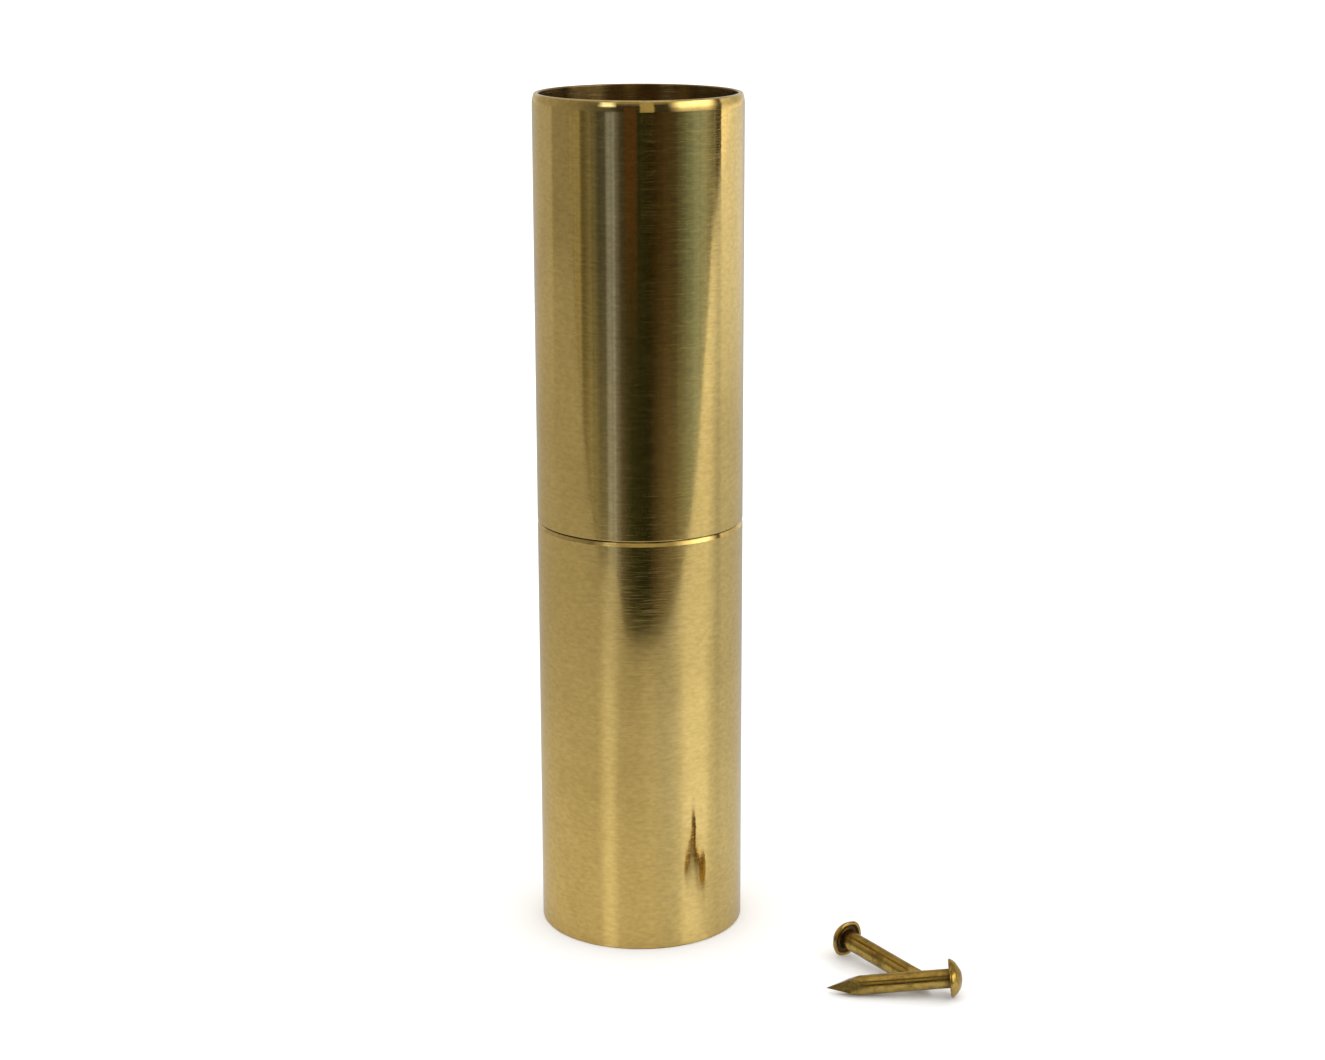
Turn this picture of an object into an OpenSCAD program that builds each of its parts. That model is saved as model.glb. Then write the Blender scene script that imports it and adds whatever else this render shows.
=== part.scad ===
// Mezuzah case: a polished brass tube in two halves joined by an inner sleeve, the rolled parchment
// that it holds, and the two brass nails that fix it to a doorpost.
// The case stands upright on the origin with its axis along +Z. Its rear, with the nail holes, faces +Y.

/* [Case tube] */
// Outside diameter of both tube halves
tube_d = 25.4; // [20:0.1:32]
// Wall thickness of the tube stock
wall = 0.8; // [0.7:0.05:1.2]
// Height of the whole case
case_h = 104.4; // [96:0.2:130]
// Gap left between the two halves when they are pushed together
seam_gap = 0.1; // [0.05:0.05:0.2]
// Height of the bevel on the lower half's outer edge, seen as a bright line at the seam
seam_bevel_h = 0.5; // [0.3:0.05:0.9]
// Depth of that bevel
seam_bevel_depth = 0.2; // [0.1:0.05:0.4]
// Rounding of the outer edges at the ends of the case and of the sleeve
edge_round = 0.2; // [0.15:0.05:0.3]
// Rounding of the inner edges, the plug's lower edge and the upper half's edge at the seam
inner_round = 0.15; // [0.05:0.05:0.2]
// Length of wall that polishing has worn back at the open mouth
buff_h = 1.3; // [0.8:0.1:3]
// Depth that polishing has worn away at the very edge of the mouth
buff_depth = 0.25; // [0.05:0.05:0.3]

/* [Coupling sleeve] */
// Length of the sleeve, half of it in each half of the tube
sleeve_len = 30; // [20:1:40]
// Radial clearance between the sleeve and the tube's bore
sleeve_clearance = 0.05; // [0.02:0.01:0.1]
// Width of the slit that lets the sleeve spring
sleeve_slit = 1.2; // [0.8:0.1:3]

/* [Floor plug] */
// Height of the plug's top face above the base, where the parchment stands
floor_z = 13.5; // [12:0.5:20]
// Height of the cup-shaped plug
plug_h = 3.6; // [2.5:0.1:4]
// Rounding of the plug's top edge
plug_round = 0.6; // [0.3:0.1:0.7]

/* [Nail holes] */
// Diameter of the hole in the rear wall near each end
nail_hole_d = 2.8; // [2.6:0.1:3.4]
// Distance of each hole from its end of the case
nail_hole_inset = 7; // [6:0.5:8]

/* [Parchment] */
// Height of the rolled parchment
scroll_h = 80; // [60:1:80]
// Outside diameter of the roll
scroll_d = 13.2; // [10:0.2:16]
// Diameter of the open core of the roll
scroll_core_d = 6; // [3:0.5:8]
// Thickness of the wrap around the roll
wrap_wall = 0.3; // [0.2:0.05:0.4]
// Radial gap between the roll and its wrap
wrap_gap = 0.2; // [0.1:0.05:0.4]
// How far the wrap reaches above the roll
wrap_above = 0.5; // [0:0.1:0.6]

/* [Nails] */
// Diameter of the shank
shank_d = 2.35; // [2:0.05:2.5]
// Length under the head
nail_len = 14.7; // [12:0.1:20]
// Length of the four-sided point
point_len = 4; // [2.5:0.1:5]
// Diameter of the head
head_d = 4.7; // [4:0.1:5]
// Height of the domed head
head_h = 1.55; // [1.2:0.05:1.8]
// Thickness of the head's straight rim
head_rim = 0.25; // [0.15:0.05:0.4]

/* [Hidden] */
$fn = 96;

brass = [0.83, 0.68, 0.36];
aged_brass = [0.62, 0.48, 0.26];
parchment_tan = [0.87, 0.79, 0.62];
wrap_white = [0.90, 0.89, 0.84];

tube_r = tube_d / 2;
bore_r = tube_r - wall;
seam_z = case_h / 2;
sleeve_r = bore_r - sleeve_clearance;
wrap_r = scroll_d / 2 + wrap_gap;
shank_r = shank_d / 2;
head_r = head_d / 2;

// Each nail lies on the surface that the case stands on, touching it with the rim of its head and
// with the shoulder of its point. The rear nail's point lies under the front nail's shank.
rest_tilt = atan((head_r - shank_r) / (nail_len - point_len));
rest_height = head_r * cos(rest_tilt);
point_slope = atan(shank_r / point_len);
rear_nail_at = [25.4, -15.2];
rear_nail_heading = -50;
front_nail_at = [36.5, -26.9];
front_nail_heading = 176;

eps = 0.01;

// The worn wall below the mouth is a long arc, and the edge itself a small arc that runs into it.
// Both are placed from the corner of the unworn wall, inwards and downwards.
worn_r = (buff_h * buff_h + buff_depth * buff_depth) / (2 * buff_depth);
edge_x = worn_r - sqrt(pow(worn_r - edge_round, 2) - pow(buff_h - edge_round, 2));
edge_meets = buff_h - worn_r * (buff_h - edge_round) / (worn_r - edge_round);

// What a rounding of radius r takes off a corner of a profile. The corner is at [x, y], and the
// material lies towards [side_x, side_y] from it.
module rounding_waste(x, y, r, side_x, side_y) {
    translate([x, y])
        scale([side_x, side_y])
            difference() {
                translate([-eps, -eps]) square(r + eps);
                translate([r, r]) circle(r);
            }
}

// What polishing takes off the outer edge of the mouth
module worn_mouth_waste() {
    translate([tube_r, case_h])
        scale([-1, -1]) {
            difference() {
                translate([-eps, -eps]) square([edge_x + eps, buff_h + eps]);
                translate([worn_r, buff_h]) circle(worn_r);
            }
            difference() {
                translate([-eps, -eps]) square([edge_x + eps, edge_meets + eps]);
                translate([edge_x, edge_round]) circle(edge_round);
            }
        }
}

// What the bevel takes off the lower half at the seam, drawn a little past both of its edges
module seam_bevel_waste() {
    past = 0.1;
    out_x = seam_bevel_depth * past;
    top_y = seam_bevel_h * past;
    translate([tube_r, seam_z])
        polygon([
            [-seam_bevel_depth - out_x, top_y],
            [out_x, -seam_bevel_h - top_y],
            [out_x, top_y]
        ]);
}

// Half of a lengthways cut through a tube about Z, with its inner edges rounded
module wall_profile(outer_r, z_low, z_high) {
    inner_r = outer_r - wall;
    difference() {
        translate([inner_r, z_low]) square([wall, z_high - z_low]);
        rounding_waste(inner_r, z_low, inner_round, 1, 1);
        rounding_waste(inner_r, z_high, inner_round, 1, -1);
    }
}

// The drill that makes a nail hole in the rear wall
module nail_drill(z) {
    translate([0, bore_r - 2 * wall, z])
        rotate([-90, 0, 0]) cylinder(d = nail_hole_d, h = 4 * wall);
}

module lower_tube() {
    color(brass)
        difference() {
            rotate_extrude()
                difference() {
                    wall_profile(tube_r, 0, seam_z);
                    rounding_waste(tube_r, 0, edge_round, -1, 1);
                    seam_bevel_waste();
                }
            nail_drill(nail_hole_inset);
        }
}

module upper_tube() {
    upper_z = seam_z + seam_gap;
    color(brass)
        difference() {
            rotate_extrude()
                difference() {
                    wall_profile(tube_r, upper_z, case_h);
                    worn_mouth_waste();
                    rounding_waste(tube_r, upper_z, inner_round, -1, 1);
                }
            nail_drill(case_h - nail_hole_inset);
        }
}

// A slit spring sleeve that holds the halves in line and lets them turn and pull apart
module coupling_sleeve() {
    sleeve_low = seam_z - sleeve_len / 2;
    sleeve_high = seam_z + sleeve_len / 2;
    color(brass)
        difference() {
            rotate_extrude()
                difference() {
                    wall_profile(sleeve_r, sleeve_low, sleeve_high);
                    rounding_waste(sleeve_r, sleeve_low, edge_round, -1, 1);
                    rounding_waste(sleeve_r, sleeve_high, edge_round, -1, -1);
                }
            translate([-sleeve_slit / 2, sleeve_r - 2 * wall, sleeve_low - 1])
                cube([sleeve_slit, 4 * wall, sleeve_len + 2]);
        }
}

// A pressed cup, open downwards, soldered into the lower half
module floor_plug() {
    color(brass)
        rotate_extrude()
            difference() {
                translate([0, floor_z - plug_h]) square([bore_r, plug_h]);
                translate([0, floor_z - plug_h - 1]) square([bore_r - wall, plug_h + 1 - wall]);
                rounding_waste(bore_r, floor_z, plug_round, -1, -1);
                rounding_waste(bore_r, floor_z - plug_h, inner_round, -1, 1);
            }
}

module parchment_scroll() {
    color(parchment_tan)
        translate([0, 0, floor_z])
            difference() {
                cylinder(d = scroll_d, h = scroll_h);
                translate([0, 0, -1]) cylinder(d = scroll_core_d, h = scroll_h + 2);
            }
}

module scroll_wrap() {
    color(wrap_white)
        translate([0, 0, floor_z])
            difference() {
                cylinder(r = wrap_r + wrap_wall, h = scroll_h + wrap_above);
                translate([0, 0, -1]) cylinder(r = wrap_r, h = scroll_h + wrap_above + 2);
            }
}

// A nail along +X, with the underside of its head at the origin and its point at nail_len
module nail() {
    dome_h = head_h - head_rim;
    dome_r = (head_r * head_r + dome_h * dome_h) / (2 * dome_h);
    rotate([0, 90, 0]) {
        difference() {
            translate([0, 0, -head_rim / 2]) cylinder(r = shank_r, h = nail_len + head_rim / 2);
            for (turn = [0:90:270])
                rotate([0, 0, turn])
                    translate([0, -shank_d, nail_len])
                        rotate([0, -point_slope, 0])
                            translate([0, 0, -2 * point_len]) cube([shank_d, 2 * shank_d, 3 * point_len]);
        }
        rotate_extrude()
            intersection() {
                translate([0, -head_h]) square([head_r, head_h]);
                translate([0, dome_r - head_h]) circle(dome_r);
            }
    }
}

// A nail lying on the surface, headed for the given direction
module lying_nail(at, heading) {
    color(aged_brass)
        translate([at[0], at[1], rest_height])
            rotate([0, rest_tilt, heading]) nail();
}

module rear_nail() {
    lying_nail(rear_nail_at, rear_nail_heading);
}

module front_nail() {
    lying_nail(front_nail_at, front_nail_heading);
}

lower_tube();
upper_tube();
coupling_sleeve();
floor_plug();
parchment_scroll();
scroll_wrap();
rear_nail();
front_nail();
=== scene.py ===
"""A plain brass mezuzah case standing on a white board with its two loose nails, in soft studio light."""

import math
import random

import bpy
from mathutils import Matrix, Vector, noise


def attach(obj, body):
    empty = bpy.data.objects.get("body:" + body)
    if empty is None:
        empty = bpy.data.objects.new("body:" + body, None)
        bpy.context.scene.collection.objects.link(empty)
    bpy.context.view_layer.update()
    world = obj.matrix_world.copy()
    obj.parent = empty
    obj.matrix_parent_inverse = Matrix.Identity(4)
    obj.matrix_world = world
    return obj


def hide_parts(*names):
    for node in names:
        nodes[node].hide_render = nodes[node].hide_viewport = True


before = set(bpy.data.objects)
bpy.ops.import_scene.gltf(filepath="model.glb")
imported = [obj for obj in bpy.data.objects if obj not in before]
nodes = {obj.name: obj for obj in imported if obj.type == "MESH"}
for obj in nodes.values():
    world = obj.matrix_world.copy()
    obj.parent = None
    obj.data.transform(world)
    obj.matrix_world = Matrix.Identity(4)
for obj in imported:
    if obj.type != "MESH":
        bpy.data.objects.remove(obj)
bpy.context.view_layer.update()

MM = 0.001
scene = bpy.context.scene

# Sizes of the object, in millimetres, as in its CAD source
TUBE_R = 12.7
SEAM_Z = 52.25
FLOOR_Z = 13.5
SCROLL_H = 80.0
SCROLL_R = 6.6
SCROLL_CORE_R = 3.0
WRAP_R = 6.8
WRAP_WALL = 0.3
WRAP_H = 80.5
SHANK_R = 1.175
NAIL_LEN = 14.7
POINT_LEN = 4.0
HEAD_R = 2.35
HEAD_H = 1.55
HEAD_RIM = 0.25
REST_TILT = math.atan((HEAD_R - SHANK_R) / (NAIL_LEN - POINT_LEN))
REST_HEIGHT = HEAD_R * math.cos(REST_TILT)

# The camera stands this far from the case's axis and this far above the board, in metres. It looks
# down by its pitch, to the right by its yaw and leans by its roll, in degrees.
VIEW_DISTANCE = 0.3064
VIEW_HEIGHT = 0.12979
VIEW_PITCH = 14.496
VIEW_YAW = 0.517
VIEW_ROLL = 0.132
LENS_LENGTH = 69.23
SENSOR_WIDTH = 36


# ---------------------------------------------------------------- shader helpers


class Nodes:
    """A node tree with short calls for adding and joining its nodes."""

    def __init__(self, tree):
        self.tree = tree

    def join(self, socket, value):
        if isinstance(value, bpy.types.NodeSocket):
            self.tree.links.new(value, socket)
        elif isinstance(value, tuple) and len(value) == 3 and socket.type == "RGBA":
            socket.default_value = (*value, 1.0)
        else:
            socket.default_value = value

    def add(self, kind, inputs=None, **settings):
        node = self.tree.nodes.new(kind)
        for name, value in settings.items():
            setattr(node, name, value)
        for name, value in (inputs or {}).items():
            self.join(node.inputs[name], value)
        return node

    def maths(self, operation, *values):
        node = self.add("ShaderNodeMath", operation=operation)
        for socket, value in zip(node.inputs, values):
            self.join(socket, value)
        return node.outputs[0]

    def vector(self, operation, *values):
        node = self.add("ShaderNodeVectorMath", operation=operation)
        for socket, value in zip(node.inputs, values):
            self.join(socket, value)
        return node.outputs[0]

    def scaled(self, vector, factor):
        node = self.add("ShaderNodeVectorMath", operation="SCALE")
        self.join(node.inputs[0], vector)
        self.join(node.inputs["Scale"], factor)
        return node.outputs[0]

    def split(self, vector):
        return self.add("ShaderNodeSeparateXYZ", {"Vector": vector}).outputs

    def length(self, x, y):
        squares = self.maths("ADD", self.maths("MULTIPLY", x, x), self.maths("MULTIPLY", y, y))
        return self.maths("SQRT", squares)

    def azimuth(self, x, y):
        """Degrees from the camera's side, -Y, towards +X."""
        return self.maths("DEGREES", self.maths("ARCTAN2", x, self.maths("MULTIPLY", y, -1)))

    def coords(self, kind="Object"):
        return self.add("ShaderNodeTexCoord").outputs[kind]

    def stretched(self, scale):
        return self.add("ShaderNodeMapping", {"Vector": self.coords(), "Scale": scale}).outputs[0]

    def noise(self, vector, scale, detail=2.0, roughness=0.5):
        inputs = {"Vector": vector, "Scale": scale, "Detail": detail, "Roughness": roughness}
        return self.add("ShaderNodeTexNoise", inputs).outputs[0]

    def remap(self, value, low, high, to_low=0.0, to_high=1.0, smooth=False):
        inputs = {"Value": value, "From Min": low, "From Max": high, "To Min": to_low, "To Max": to_high}
        kind = "SMOOTHSTEP" if smooth else "LINEAR"
        return self.add("ShaderNodeMapRange", inputs, interpolation_type=kind).outputs[0]

    def within(self, value, low, high, soft):
        """1 between low and high, with ends that fade over twice the softness."""
        rise = self.remap(value, low - soft, low + soft, smooth=True)
        fall = self.remap(value, high + soft, high - soft, smooth=True)
        return self.maths("MULTIPLY", rise, fall)

    def mix(self, factor, a, b, blend="MIX"):
        node = self.add("ShaderNodeMix", data_type="RGBA", blend_type=blend)
        for socket, value in ((node.inputs[0], factor), (node.inputs[6], a), (node.inputs[7], b)):
            self.join(socket, value)
        return node.outputs[2]

    def ramp(self, value, stops):
        """A colour ramp from (position, colour) stops."""
        node = self.add("ShaderNodeValToRGB", {"Fac": value})
        elements = node.color_ramp.elements
        while len(elements) < len(stops):
            elements.new(1.0)
        for element, (position, colour) in zip(elements, stops):
            element.position = position
            element.color = (*colour, 1)
        return node.outputs[0]

    def bump(self, height, distance):
        return self.add("ShaderNodeBump", {"Height": height, "Distance": distance}).outputs[0]


class Material(Nodes):
    """A new node material with one principled surface."""

    def __init__(self, name):
        self.material = bpy.data.materials.new(name)
        self.material.use_nodes = True
        super().__init__(self.material.node_tree)
        self.surface = self.tree.nodes["Principled BSDF"]

    def set(self, **inputs):
        for name, value in inputs.items():
            self.join(self.surface.inputs[name.replace("_", " ")], value)


# ---------------------------------------------------------------- materials


# The wall turns from its polished outside to its dull bore between these radii, in millimetres
POLISHED_DOWN_TO, DULL_FROM = 12.10, 11.98
# Dirt fills the seam up to the first of these distances from it and ends at the second, in millimetres
DIRT_FULL, DIRT_END = 0.08, 0.18
# How much rougher than the polished outside the bore and the dirt are
DULL_ROUGHER = 0.12
# Roughness between the scratches
POLISHED_ROUGHNESS = 0.06
# How far the surface leans to and fro along the scratches
SCRATCH_LEAN = 0.012
RIDGE_HEIGHT = 0.0008

BRASS = (0.90, 0.64, 0.225)
BRASS_IN_LINES = (0.86, 0.61, 0.20)
BRASS_PATINA = (0.66, 0.45, 0.13)
DULL_BRASS = (0.46, 0.32, 0.12)
STAINED_BRASS = (0.24, 0.15, 0.045)
SEAM_DIRT = (0.10, 0.07, 0.025)


def polished_brass(name, scratch_roughness):
    """Bright outside with short fine scratches round it, and dull and stained in the bore."""
    s = Material(name)
    x, y, z = s.split(s.coords())
    inside = s.remap(s.length(x, y), POLISHED_DOWN_TO * MM, DULL_FROM * MM)
    from_seam = s.maths("ABSOLUTE", s.maths("SUBTRACT", z, SEAM_Z * MM))
    patchy = s.remap(s.noise(s.coords(), 170, 2.0), 0.40, 0.58, 0.15, 1.0)
    dirt = s.maths("MULTIPLY", s.remap(from_seam, DIRT_END * MM, DIRT_FULL * MM), patchy)

    # Scratches are noise that is drawn out round the case
    scratches = s.noise(s.stretched((0.3, 0.3, 18.0)), 1000, 3.0, 0.6)
    wide_lines = s.noise(s.stretched((0.12, 0.12, 2.5)), 1000, 3.0, 0.6)
    grain = s.remap(s.noise(s.stretched((0.5, 0.5, 1.0)), 2400, 2.0, 0.6), 0.3, 0.7, 0.90, 1.10)
    haze = s.remap(scratches, 0.48, 0.85, POLISHED_ROUGHNESS, scratch_roughness)
    stain = s.remap(s.noise(s.stretched((1, 1, 0.35)), 260, 4.0, 0.6), 0.35, 0.7)
    specks = s.remap(s.noise(s.coords(), 1300, 3.0, 0.6), 0.68, 0.78, 0.0, 0.6)
    patina = s.remap(s.noise(s.coords(), 90, 4.0, 0.6), 0.45, 0.75, 0.0, 0.35)
    bright = s.mix(s.remap(wide_lines, 0.3, 0.7), BRASS, BRASS_IN_LINES)
    bright = s.mix(s.maths("MAXIMUM", specks, patina), bright, BRASS_PATINA)
    bright = s.mix(1.0, bright, grain, "MULTIPLY")
    dull = s.mix(stain, DULL_BRASS, STAINED_BRASS)

    colour = s.mix(dirt, s.mix(inside, bright, dull), SEAM_DIRT)
    rougher = s.maths("MULTIPLY", s.maths("MAXIMUM", inside, dirt), DULL_ROUGHER)
    roughness = s.maths("ADD", haze, rougher)

    tangent = s.add("ShaderNodeTangent", direction_type="RADIAL", axis="Z").outputs[0]
    swing = s.noise(s.stretched((0.25, 0.25, 5.0)), 1000, 2.0)
    tilt = s.scaled(tangent, s.remap(swing, 0.0, 1.0, -SCRATCH_LEAN, SCRATCH_LEAN))
    ridges = s.bump(wide_lines, RIDGE_HEIGHT * MM)
    s.set(
        Base_Color=colour,
        Metallic=1.0,
        Roughness=roughness,
        Anisotropic=0.9,
        Anisotropic_Rotation=0.25,
        Tangent=tangent,
        Normal=s.vector("NORMALIZE", s.vector("ADD", ridges, tilt)),
    )
    return s.material


def inner_brass():
    """Plain drawn brass of the sleeve and the floor plug, lightly stained."""
    s = Material("inner_brass")
    lines = s.noise(s.stretched((0.3, 0.3, 8.0)), 900, 3.0, 0.6)
    stain = s.remap(s.noise(s.coords(), 300, 4.0, 0.6), 0.35, 0.7)
    s.set(
        Base_Color=s.mix(stain, (0.60, 0.43, 0.17), (0.44, 0.30, 0.11)),
        Metallic=1.0,
        Roughness=s.remap(lines, 0.3, 0.7, 0.28, 0.5),
        Normal=s.bump(lines, 0.004 * MM),
    )
    return s.material


def nail_brass():
    """Bronze-gold on the high places, brown where the brass is dulled, and darkened with painted shade in
    the hollow under the head and along the neck.
    """
    s = Material("nail_brass")
    worn = s.remap(s.noise(s.coords(), 650, 4.0, 0.65), 0.42, 0.66)
    # A point attribute of painted shade for the hollow under the head and the neck, which also makes them
    # rougher
    painted_shade = s.add("ShaderNodeAttribute", attribute_name="painted_shade").outputs["Fac"]
    dulled = s.maths("MAXIMUM", worn, painted_shade)
    grain = s.noise(s.coords(), 2600, 3.0, 0.6)
    metal = s.mix(worn, (0.60, 0.395, 0.09), (0.27, 0.165, 0.04))
    # The near-black colour mixed in by that attribute is painted shade in the hollow under the head and
    # along the neck
    s.set(
        Base_Color=s.mix(painted_shade, metal, (0.10, 0.055, 0.018)),
        Metallic=1.0,
        Roughness=s.remap(dulled, 0, 1, 0.16, 0.34),
        Normal=s.bump(grain, 0.008 * MM),
    )
    return s.material


def parchment():
    """Blank parchment, cloudy in colour and fibrous."""
    s = Material("parchment")
    cloud = s.noise(s.coords(), 160, 4.0, 0.6)
    fibre = s.noise(s.stretched((1, 1, 0.25)), 2600, 3.0, 0.7)
    s.set(
        Base_Color=s.mix(s.remap(cloud, 0.3, 0.7), (0.64, 0.52, 0.33), (0.53, 0.40, 0.23)),
        Roughness=s.remap(fibre, 0.3, 0.7, 0.5, 0.72),
        Normal=s.bump(fibre, 0.03 * MM),
    )
    s.surface.inputs["Sheen Weight"].default_value = 0.1
    return s.material


def frosted_wrap():
    """A pale, slightly crinkled wrap."""
    s = Material("frosted_wrap")
    crinkle = s.noise(s.stretched((1, 1, 0.3)), 420, 4.0, 0.55)
    s.set(
        Base_Color=s.mix(s.remap(crinkle, 0.3, 0.7), (0.66, 0.67, 0.64), (0.56, 0.57, 0.54)),
        Roughness=s.remap(crinkle, 0.3, 0.7, 0.28, 0.4),
        Normal=s.bump(crinkle, 0.12 * MM),
    )
    return s.material


def dress(node, material):
    """Gives a CAD node its material and smooth shading, and leaves its shape alone."""
    mesh = nodes[node].data
    mesh.materials.clear()
    mesh.materials.append(material)
    for polygon in mesh.polygons:
        polygon.use_smooth = True


dress("lower_tube", polished_brass("brushed_brass", 0.27))
dress("upper_tube", polished_brass("polished_brass", 0.24))
aged_brass = inner_brass()
for name in ("coupling_sleeve", "floor_plug"):
    dress(name, aged_brass)


# ---------------------------------------------------------------- pieces


# Faces that meet at more than this, in degrees, meet at a sharp edge
SHARP_ANGLE = 32


def new_piece(name, points, faces, material, place=Matrix.Identity(4)):
    """A smooth mesh from points in millimetres, none of it lower than the board."""
    mesh = bpy.data.meshes.new(name)
    placed = [place @ Vector(point) * MM for point in points]
    mesh.from_pydata([(x, y, max(z, 0.0)) for x, y, z in placed], [], faces)
    mesh.materials.append(material)
    for polygon in mesh.polygons:
        polygon.use_smooth = True
    mesh.set_sharp_from_angle(angle=math.radians(SHARP_ANGLE))
    piece = bpy.data.objects.new(name, mesh)
    scene.collection.objects.link(piece)
    return piece


# Rings and sides of the nails' meshes
NAIL_SIDES = 64
DOME_RINGS = 22
SHANK_RINGS = 96
# Height and radius of the head's dome, and the hollow under the head with the lip round it
DOME_H = HEAD_H - HEAD_RIM
DOME_R = (HEAD_R**2 + DOME_H**2) / (2 * DOME_H)
LIP_R = 2.02
HOLLOW_DEPTH = 0.36
# Hammer marks on the dome: their number, how far from its middle they lie in degrees, and how much
# of the dome's radius they take off
HAMMER_MARKS = 11
MARK_LEAN = (8, 52)
MARK_CUT = (0.012, 0.035)
MARK_FLATNESS = 0.9
# How far the head's outline and the shank stray from round, as shares of their radius
RIM_STRAY = 0.035
SHANK_WEAR = 0.012
# Length of the neck that the painted shade darkens
SHADED_NECK = 0.9


def head_profile():
    """(x, radius) round the nail's head, from the middle of its dome to the shank."""
    outline = []
    for i in range(1, DOME_RINGS + 1):
        down = DOME_H * (i / DOME_RINGS) ** 2
        outline.append((down - HEAD_H, math.sqrt(2 * DOME_R * down - down**2)))
    # The rounded rim, the lip inside it, the hollow and the fillet into the shank
    outline += [(-0.16, HEAD_R), (-0.07, HEAD_R - 0.03), (-0.01, HEAD_R - 0.12), (0, HEAD_R - 0.2)]
    outline += [(-0.01, LIP_R), (-0.08, LIP_R - 0.08), (-HOLLOW_DEPTH + 0.05, LIP_R - 0.3)]
    outline += [(-HOLLOW_DEPTH, LIP_R - 0.5), (-HOLLOW_DEPTH + 0.02, SHANK_R + 0.2)]
    outline += [(-HOLLOW_DEPTH + 0.16, SHANK_R + 0.03), (-0.1, SHANK_R)]
    return outline


def painted_shade_amount(x, radius):
    """How much painted shade darkens the nail: fully in the hollow under its head, less along the neck."""
    if x < -HOLLOW_DEPTH - 0.01 or radius > LIP_R - 0.05:
        return 0.0
    return 1.0 if x < 0 else max(0.0, 0.7 * (1 - x / SHADED_NECK))


def hammer_marks(rng):
    """(direction, distance from the dome's middle) of each flat on the dome."""
    marks = []
    for _ in range(HAMMER_MARKS):
        lean = math.radians(rng.uniform(*MARK_LEAN))
        turn = rng.uniform(0, math.tau)
        aim = Vector((-math.cos(lean), math.sin(lean) * math.cos(turn), math.sin(lean) * math.sin(turn)))
        marks.append((aim, DOME_R * (1 - rng.uniform(*MARK_CUT))))
    return marks


def hammered(point, marks):
    """A point of the dome, pressed in where a mark lies."""
    dome_middle = Vector((DOME_R - HEAD_H, 0, 0))
    for aim, reach in marks:
        over = (point - dome_middle).dot(aim) - reach
        if over > 0:
            point = point - aim * over * MARK_FLATNESS
    return point


def head_radius(x, radius, turn, corner_turn, shift):
    """Radius of the head at a place round it, with six faint corners and a few dents at its rim."""
    if radius <= SHANK_R + 0.25 or x <= -1.0:
        return radius
    corners = 0.5 + 0.5 * math.cos(6 * turn + corner_turn)
    dents = 0.5 + 0.5 * noise.noise(Vector((2 * math.cos(turn), 2 * math.sin(turn), x)) + shift)
    near_rim = min(1, (x + 1.0) / 0.75)
    return radius * (1 - near_rim * RIM_STRAY * (corners + dents))


def shank_radius(x, turn, shift):
    """Radius of the worn shank at a place along it and round it, with the four flats of its point."""
    wear = noise.noise(Vector((x * 0.5, math.cos(turn), math.sin(turn))) + shift)
    worn = SHANK_R * (1 - SHANK_WEAR * (1 + wear))
    left = (NAIL_LEN - x) / POINT_LEN
    if left >= 1:
        return worn
    flat = max(abs(math.cos(turn)), abs(math.sin(turn)))
    return min(worn, SHANK_R * left * (0.97 + 0.03 * wear) / flat)


def nail_faces(rings):
    """Faces between the rings of a nail, and those that close its dome and its point."""
    last = 1 + (rings - 1) * NAIL_SIDES
    tip = last + NAIL_SIDES
    faces = []
    for side in range(NAIL_SIDES):
        after = (side + 1) % NAIL_SIDES
        faces.append((0, 1 + after, 1 + side))
        for ring in range(rings - 1):
            low = 1 + ring * NAIL_SIDES
            high = low + NAIL_SIDES
            faces.append((low + side, low + after, high + after, high + side))
        faces.append((last + side, last + after, tip))
    return faces


def nail(name, node, material, at, heading, roll, seed):
    """A hammered nail, lying with its head's rim and the shoulder of its point on the board."""
    rng = random.Random(seed)
    shift = Vector((seed * 3.1, seed * 1.7, 0))
    marks = hammer_marks(rng)
    corner_turn = rng.uniform(0, math.tau)

    head = head_profile()
    outline = head + [(NAIL_LEN * i / SHANK_RINGS, SHANK_R) for i in range(SHANK_RINGS)]
    points = [(-HEAD_H + 0.05, 0, 0)]
    for ring, (x, radius) in enumerate(outline):
        for side in range(NAIL_SIDES):
            turn = math.tau * side / NAIL_SIDES
            if ring < len(head):
                r = head_radius(x, radius, turn, corner_turn, shift)
            else:
                r = shank_radius(x, turn, shift)
            point = Vector((x, r * math.cos(turn), r * math.sin(turn)))
            points.append(tuple(hammered(point, marks) if x < -HEAD_RIM else point))
    points.append((NAIL_LEN, 0, 0))
    # Painted shade darkens the hollow under the head and round the neck
    painted_shade = [0.0] + [painted_shade_amount(x, radius) for x, radius in outline for _ in range(NAIL_SIDES)] + [0.0]

    place = Matrix.Translation((*at, REST_HEIGHT)) @ Matrix.Rotation(math.radians(heading), 4, "Z")
    place = place @ Matrix.Rotation(REST_TILT, 4, "Y") @ Matrix.Rotation(math.radians(roll), 4, "X")
    piece = new_piece(name, points, nail_faces(len(outline)), material, place)
    piece.data.attributes.new("painted_shade", "FLOAT", "POINT").data.foreach_set("value", painted_shade)
    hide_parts(node)
    return piece


# Steps round one turn of a rolled sheet and up its height
SHEET_STEPS = 96
SHEET_ROWS = 24
# How far a rolled sheet wanders off its spiral
SHEET_WANDER = 0.02


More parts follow.
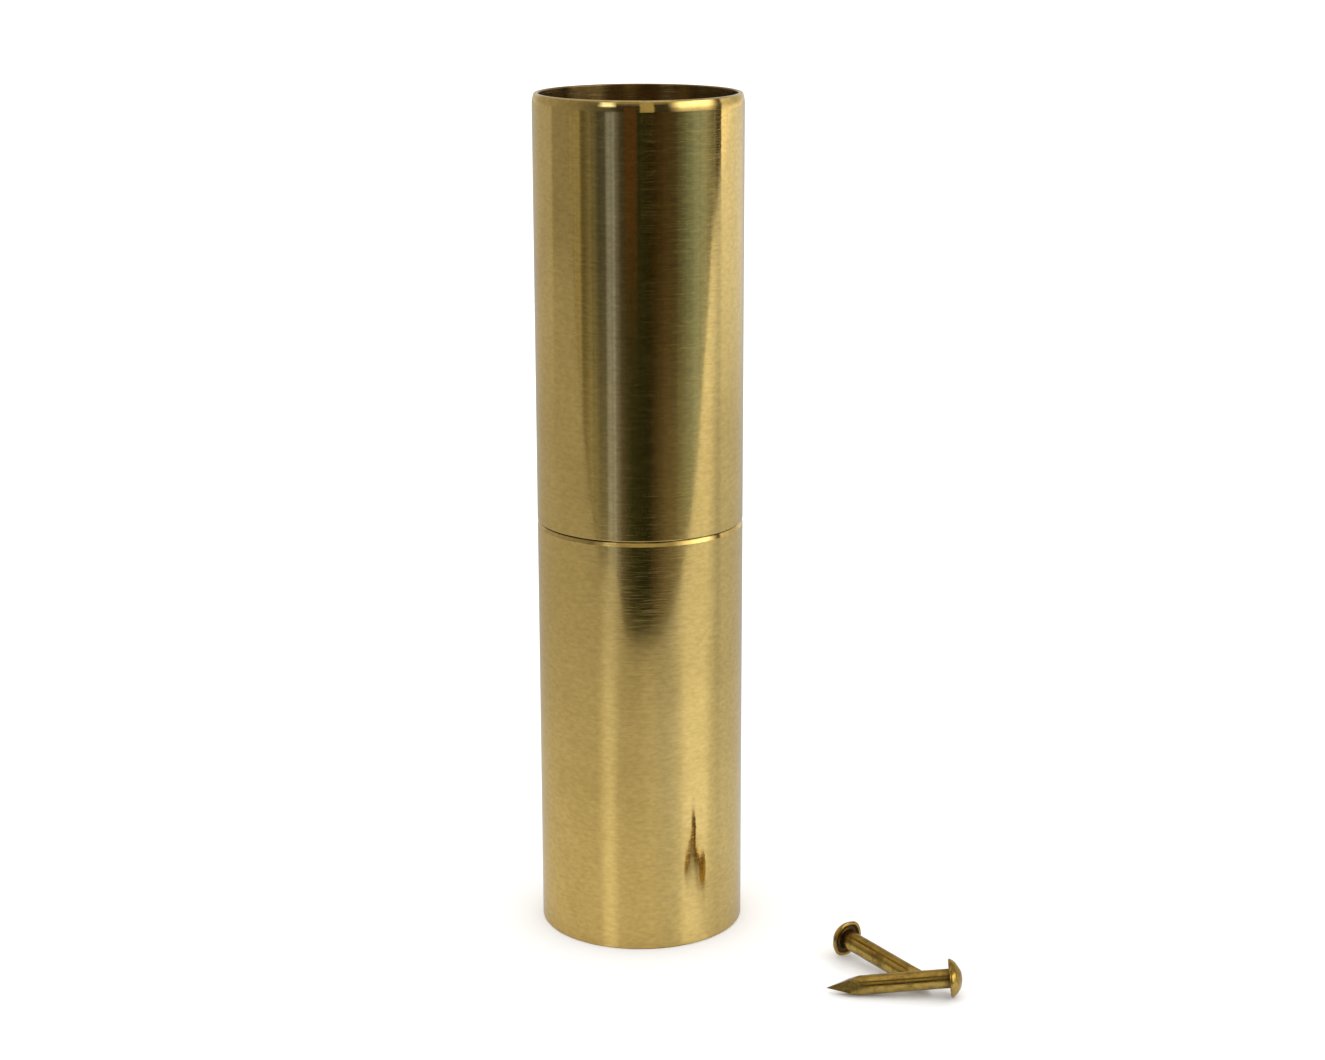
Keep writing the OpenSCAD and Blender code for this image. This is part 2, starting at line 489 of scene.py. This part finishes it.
def rolled_sheet(name, material, radii, thickness, width, spring, z_low, z_high, ragged, seed):
    """A sheet of the given flat width rolled into a spiral about Z, with a slightly uneven top edge.

    Its middle goes from the first of the radii to the second. Its turns are evenly spaced with a
    spring of 1, and press outwards with more.
    """
    r_start, r_end = radii
    mean_r = r_start + (r_end - r_start) * spring / (spring + 1)
    turns = width / (math.tau * mean_r)
    count = int(SHEET_STEPS * turns)
    points = []
    for i in range(count + 1):
        share = i / count
        turn = math.tau * turns * share
        middle = r_start + (r_end - r_start) * (1 - (1 - share) ** spring)
        for row in range(SHEET_ROWS + 1):
            up = row / SHEET_ROWS
            wander = noise.noise(Vector((share * turns * 1.3, seed, up * 2.0)))
            dip = 0.5 + 0.5 * noise.noise(Vector((share * turns * 2.0, seed + 9, 0)))
            top = z_high - ragged * dip
            z = z_low + (top - z_low) * up
            r = middle + SHEET_WANDER * wander
            for side in (-0.5, 0.5):
                edge = r + side * thickness
                points.append((edge * math.cos(turn), edge * math.sin(turn), z))
    stride = 2 * (SHEET_ROWS + 1)
    faces = []
    for i in range(count):
        a, b = i * stride, (i + 1) * stride
        # Its inner and outer sides
        for row in range(SHEET_ROWS):
            k = 2 * row
            faces.append((a + k, a + k + 2, b + k + 2, b + k))
            faces.append((a + k + 1, b + k + 1, b + k + 3, a + k + 3))
        # Its bottom and top edges
        faces.append((a, b, b + 1, a + 1))
        faces.append((a + stride - 2, a + stride - 1, b + stride - 1, b + stride - 2))
    # The two upright ends of the sheet
    for row in range(SHEET_ROWS):
        k = 2 * row
        last = count * stride + k
        faces.append((k, k + 1, k + 3, k + 2))
        faces.append((last, last + 2, last + 3, last + 1))
    return new_piece(name, points, faces, material)


loose_brass = nail_brass()
rear = nail("nail_behind", "rear_nail", loose_brass, (25.4, -15.2), heading=-50, roll=12, seed=3)
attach(rear, "nail_behind")
front = nail("nail_in_front", "front_nail", loose_brass, (36.5, -26.9), heading=176, roll=18, seed=5)
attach(front, "nail_in_front")

# The parchment is a square sheet. Both sheets start and end just inside the solids they replace
PARCHMENT_THICKNESS = 0.26
PARCHMENT_RADII = (SCROLL_CORE_R + 0.16, SCROLL_R - 0.16)
roll = rolled_sheet(
    "parchment_roll", parchment(), PARCHMENT_RADII, PARCHMENT_THICKNESS, width=SCROLL_H, spring=2.0,
    z_low=FLOOR_Z, z_high=FLOOR_Z + SCROLL_H, ragged=0.5, seed=1,
)
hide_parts("parchment_scroll")
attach(roll, "scroll")

WRAP_THICKNESS = 0.1
WRAP_WIDTH = 59.0
WRAP_RADII = (WRAP_R + 0.07, WRAP_R + WRAP_WALL - 0.08)
wrap = rolled_sheet(
    "wrap_sheet", frosted_wrap(), WRAP_RADII, WRAP_THICKNESS, width=WRAP_WIDTH, spring=1.0,
    z_low=FLOOR_Z, z_high=FLOOR_Z + WRAP_H, ragged=0.12, seed=4,
)
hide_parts("scroll_wrap")
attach(wrap, "wrap")


# ---------------------------------------------------------------- stage

# Brightness of the even light on everything that isn't shiny
EVEN_LIGHT = 1.3
# How far the board lies below the case's foot, in metres
BOARD_DROP = 0.02 * MM
# Width of the dim strip along the board's front edge, in metres, and the light that the edge keeps
DIM_EDGE = 0.009
DIM_EDGE_LIGHT = 0.05
# The front edge, in metres: its place in front of the case's axis, how it turns in to the right, and
# its bow. It has points at EDGE_FAR_LEFT and then at every EDGE_STEP.
EDGE_Y = -0.1465
EDGE_SLOPE = 0.09
BOW_X, BOW_HALF_WIDTH, BOW_DEPTH = -0.088, 0.055, 0.030
EDGE_FAR_LEFT = (-2.5, -0.8)
EDGE_STEP = 0.01
# The board's right and rear corners seen from above, in metres
BOARD_SIDES = [(0.634, -0.05), (0.83, 0.115), (1.0, 0.5), (1.1, 2.5), (-2.5, 2.5)]

# Shade of the board as the case reflects it, from the case's foot to the horizon: to the left and
# to the right of the case. A position is the height on the case, as a share of the camera's height.
BOARD_LEFT = [
    (0.0, 0.76), (0.05, 0.72), (0.12, 0.62), (0.30, 0.46),
    (0.42, 0.40), (0.64, 0.37), (0.70, 0.25), (1.0, 0.24),
]
BOARD_RIGHT = [
    (0.0, 0.74), (0.05, 0.72), (0.12, 0.67), (0.30, 0.53), (0.40, 0.50),
    (0.53, 0.60), (0.63, 0.80), (0.72, 0.92), (1.0, 0.90),
]
LEFT_TINT = (1.0, 0.99, 0.94)
RIGHT_TINT = (0.97, 1.03, 1.15)
# The left shade turns into the right one over this part of the way across, from -1 to 1
LEFT_TO_RIGHT = (-0.1, 0.7)
# Shade of the board behind the case on its left, and the azimuths and heights over which it sets in
BOARD_BACK = 0.45
BACK_AZIMUTH = (-105, -109)
BACK_HEIGHT = (0.4, 0.6)
# Stretches of the board that shine towards the case below the windows, in degrees of azimuth, with
# the softness of their sides in degrees, how much brighter they are and the heights they fade over
BOARD_SHEENS = [(-46, -31), (48, 80)]
SHEEN_SOFT = 6
SHEEN_GAIN = 1.27
SHEEN_HEIGHT = (0.36, 0.27)
# How much of the windows the board reflects towards the case
BOARD_GLOSS = 0.45


def front_edge(x):
    """Place of the board's front edge, which turns in to the right and bows out left of the middle."""
    bow = max(0.0, 1 - abs(x - BOW_X) / BOW_HALF_WIDTH)
    return EDGE_Y + EDGE_SLOPE * max(x, 0.0) - BOW_DEPTH * bow * bow * (3 - 2 * bow)


def board_mesh():
    """The flat board, with a dim strip along its front edge."""
    across = [*EDGE_FAR_LEFT, *(EDGE_STEP * i for i in range(-40, 39))]
    edge = [(x, front_edge(x), -BOARD_DROP) for x in across]
    inner = [(x, y + DIM_EDGE, z) for x, y, z in edge]
    sides = [(x, y, -BOARD_DROP) for x, y in BOARD_SIDES]
    count = len(across)
    faces = [(i, i + 1, count + i + 1, count + i) for i in range(count - 1)]
    faces.append((*range(count, 2 * count), *range(2 * count, 2 * count + len(sides))))
    faces.append((count - 1, 2 * count, 2 * count - 1))
    mesh = bpy.data.meshes.new("white_board")
    mesh.from_pydata(edge + inner + sides, [], faces)
    lit = mesh.attributes.new("lit", "FLOAT", "POINT")
    lit.data.foreach_set("value", [DIM_EDGE_LIGHT] * count + [1.0] * (count + len(sides)))
    return mesh


def board_material():
    """White to the camera, and to everything else shaded by place as a table under a window is."""
    s = Material("white_board")
    x, y, _ = s.split(s.coords())
    distance = s.length(x, y)
    height = s.maths("DIVIDE", distance, s.maths("ADD", distance, VIEW_DISTANCE - TUBE_R * MM))
    shades = []
    for stops, tint in ((BOARD_LEFT, LEFT_TINT), (BOARD_RIGHT, RIGHT_TINT)):
        shades.append(s.ramp(height, [(at, tuple(v * t / EVEN_LIGHT for t in tint)) for at, v in stops]))
    to_right = s.remap(s.maths("DIVIDE", x, distance), *LEFT_TO_RIGHT, smooth=True)
    azimuth = s.azimuth(x, y)
    behind = s.maths("MULTIPLY", s.remap(azimuth, *BACK_AZIMUTH), s.remap(height, *BACK_HEIGHT))
    shades[0] = s.mix(behind, shades[0], (BOARD_BACK / EVEN_LIGHT,) * 3)
    # Close to the case a mirrored ray meets the board nearer to the middle than it would further out
    near = s.maths("POWER", s.maths("DIVIDE", TUBE_R * MM, distance), 1.5)
    mirrored = s.maths("MULTIPLY", azimuth, s.maths("ADD", near, 1.0))
    sheens = [s.within(mirrored, left, right, SHEEN_SOFT) for left, right in BOARD_SHEENS]
    sheen = s.maths("MULTIPLY", s.maths("MAXIMUM", *sheens), s.remap(height, *SHEEN_HEIGHT))
    shade = s.mix(1.0, s.mix(to_right, *shades), s.remap(sheen, 0, 1, 1.0, SHEEN_GAIN), "MULTIPLY")
    inwards = s.add("ShaderNodeAttribute", attribute_name="lit").outputs["Fac"]
    shade = s.mix(1.0, shade, s.remap(inwards, 0, 1, smooth=True), "MULTIPLY")
    seen = s.add("ShaderNodeLightPath").outputs["Is Camera Ray"]
    s.set(
        Base_Color=s.mix(seen, shade, (1.0, 1.0, 1.0)),
        Roughness=0.3,
        Specular_IOR_Level=s.remap(seen, 0.0, 1.0, BOARD_GLOSS, 0.0),
    )
    return s.material


def floor():
    """A white board that fills the frame. Its front edge is the lower end of the dark reflection."""
    mesh = board_mesh()
    mesh.materials.append(board_material())
    board = bpy.data.objects.new("white_board", mesh)
    scene.collection.objects.link(board)


# Upright bands of the room round the case below the camera's height, as (degrees from the camera
# towards +X, colour)
LOW_BANDS = [
    (-180, (0.75, 0.72, 0.66)),
    (-130, (0.44, 0.43, 0.40)),
    (-108, (0.44, 0.43, 0.40)),
    (-105, (0.25, 0.24, 0.20)),
    (-67, (0.27, 0.255, 0.195)),
    (-64, (0.10, 0.09, 0.055)),
    (-61, (0.105, 0.10, 0.07)),
    (-56, (0.165, 0.16, 0.13)),
    (-48, (0.11, 0.115, 0.095)),
    (-43, (0.05, 0.055, 0.06)),
    (-37, (0.07, 0.08, 0.10)),
    (-34, (0.20, 0.24, 0.39)),
    (-27, (0.22, 0.27, 0.45)),
    (-24, (0.12, 0.13, 0.19)),
    (-19, (0.05, 0.048, 0.05)),
    (-12, (0.026, 0.033, 0.018)),
    (-4, (0.020, 0.025, 0.012)),
    (6, (0.014, 0.018, 0.006)),
    (12, (0.014, 0.012, 0.003)),
    (18, (0.026, 0.018, 0.005)),
    (29, (0.052, 0.036, 0.018)),
    (40, (0.050, 0.045, 0.030)),
    (47, (0.095, 0.11, 0.095)),
    (55, (0.14, 0.18, 0.19)),
    (66, (0.25, 0.32, 0.36)),
    (78, (0.28, 0.32, 0.33)),
    (86, (0.17, 0.18, 0.16)),
    (92, (0.14, 0.14, 0.11)),
    (93, (0.05, 0.04, 0.025)),
    (100, (0.05, 0.04, 0.025)),
    (101, (1.12, 1.08, 1.0)),
    (180, (0.75, 0.72, 0.66)),
]
# The room above the camera's height
HIGH_BANDS = [
    (-180, (0.30, 0.29, 0.27)),
    (-120, (0.34, 0.33, 0.31)),
    (-70, (0.22, 0.21, 0.18)),
    (-45, (0.10, 0.10, 0.09)),
    (-20, (0.03, 0.027, 0.024)),
    (30, (0.03, 0.027, 0.022)),
    (55, (0.12, 0.11, 0.10)),
    (80, (0.40, 0.38, 0.34)),
    (93, (0.10, 0.09, 0.07)),
    (100, (0.10, 0.09, 0.07)),
    (103, (0.70, 0.68, 0.62)),
    (130, (0.50, 0.48, 0.43)),
    (180, (0.30, 0.29, 0.27)),
]
# Lamps, windows and ceiling, as (from, to) degrees of azimuth and of elevation, the softness of
# their edges in degrees, and colour
PATCHES = [
    ((42, 88), (7, 34), 11, (2.2, 2.15, 1.95)),
    ((-42, -27), (15, 48), 4, (1.8, 2.0, 2.4)),
    ((-15, -2), (-9, 12), 2, (0.070, 0.036, 0.014)),
    ((2, 17), (0, 31), 1.0, (0.36, 0.33, 0.22)),
    ((-200, -55), (30, 56), 5, (0.44, 0.42, 0.37)),
    ((-55, 200), (24, 46), 4, (0.36, 0.33, 0.26)),
    ((-200, 200), (62, 120), 5, (0.60, 0.56, 0.48)),
    ((140, 240), (2, 16), 14, (0.70, 0.68, 0.62)),
    ((-240, -140), (2, 16), 14, (0.70, 0.68, 0.62)),
]
# Light on the ground just beyond the board, to the sides of the camera: it comes up over the first
# degrees of azimuth from the camera and the second degrees of elevation
GLOW = (0.17, 0.165, 0.14)
GLOW_ASIDE = (8, 45)
GLOW_BELOW = (-8.5, -16)
# Least and most brightness of the clutter in the lower bands
CLUTTER = (0.72, 1.28)
# Elevations between which the lower bands turn into the upper ones
HORIZON = (-3, 4)


def room():
    """Even light for what is dull, and for what shines a room of upright bands, with two windows."""
    world = bpy.data.worlds.new("room")
    world.use_nodes = True
    scene.world = world
    world.node_tree.nodes.clear()
    s = Nodes(world.node_tree)

    x, y, z = s.split(s.coords("Generated"))
    azimuth = s.azimuth(x, y)
    elevation = s.maths("DEGREES", s.maths("ARCSINE", z))
    place = s.remap(azimuth, -180, 180)
    bands = [s.ramp(place, [((at + 180) / 360, c) for at, c in stops]) for stops in (LOW_BANDS, HIGH_BANDS)]
    aside = s.remap(s.maths("ABSOLUTE", azimuth), *GLOW_ASIDE)
    glow = s.maths("MULTIPLY", aside, s.remap(elevation, *GLOW_BELOW))
    clutter = s.noise(s.add("ShaderNodeCombineXYZ", {"X": azimuth}).outputs[0], 0.42, 4.0, 0.7)
    low_bands = s.mix(1.0, bands[0], s.remap(clutter, 0.3, 0.7, *CLUTTER), "MULTIPLY")
    shine = s.mix(glow, low_bands, GLOW, "ADD")
    shine = s.mix(s.remap(elevation, *HORIZON, smooth=True), shine, bands[1])
    for azimuths, elevations, soft, colour in PATCHES:
        sideways = s.within(azimuth, *azimuths, soft)
        upright = s.within(elevation, *elevations, soft)
        shine = s.mix(s.maths("MULTIPLY", sideways, upright), shine, colour)

    even = s.add("ShaderNodeBackground", {"Color": (1.0, 1.0, 1.0), "Strength": EVEN_LIGHT})
    bright = s.add("ShaderNodeBackground", {"Color": shine})
    glossy = s.add("ShaderNodeMixShader", {"Fac": s.add("ShaderNodeLightPath").outputs["Is Glossy Ray"]})
    s.join(glossy.inputs[1], even.outputs[0])
    s.join(glossy.inputs[2], bright.outputs[0])
    s.add("ShaderNodeOutputWorld", {"Surface": glossy.outputs[0]})


def camera():
    """The photograph's angle: from in front, a little above the case's top."""
    data = bpy.data.cameras.new("camera")
    data.sensor_width = SENSOR_WIDTH
    data.lens = LENS_LENGTH
    data.clip_start = 0.01
    view = bpy.data.objects.new("camera", data)
    scene.collection.objects.link(view)
    pitch, yaw, lean = (math.radians(angle) for angle in (VIEW_PITCH, VIEW_YAW, VIEW_ROLL))
    view.location = (0, -VIEW_DISTANCE, VIEW_HEIGHT)
    turned = Matrix.Rotation(-yaw, 4, "Z") @ Matrix.Rotation(math.pi / 2 - pitch, 4, "X")
    view.rotation_mode = "QUATERNION"
    view.rotation_quaternion = (turned @ Matrix.Rotation(-lean, 4, "Z")).to_quaternion()
    scene.camera = view


floor()
room()
camera()
scene.view_settings.view_transform = "Standard"
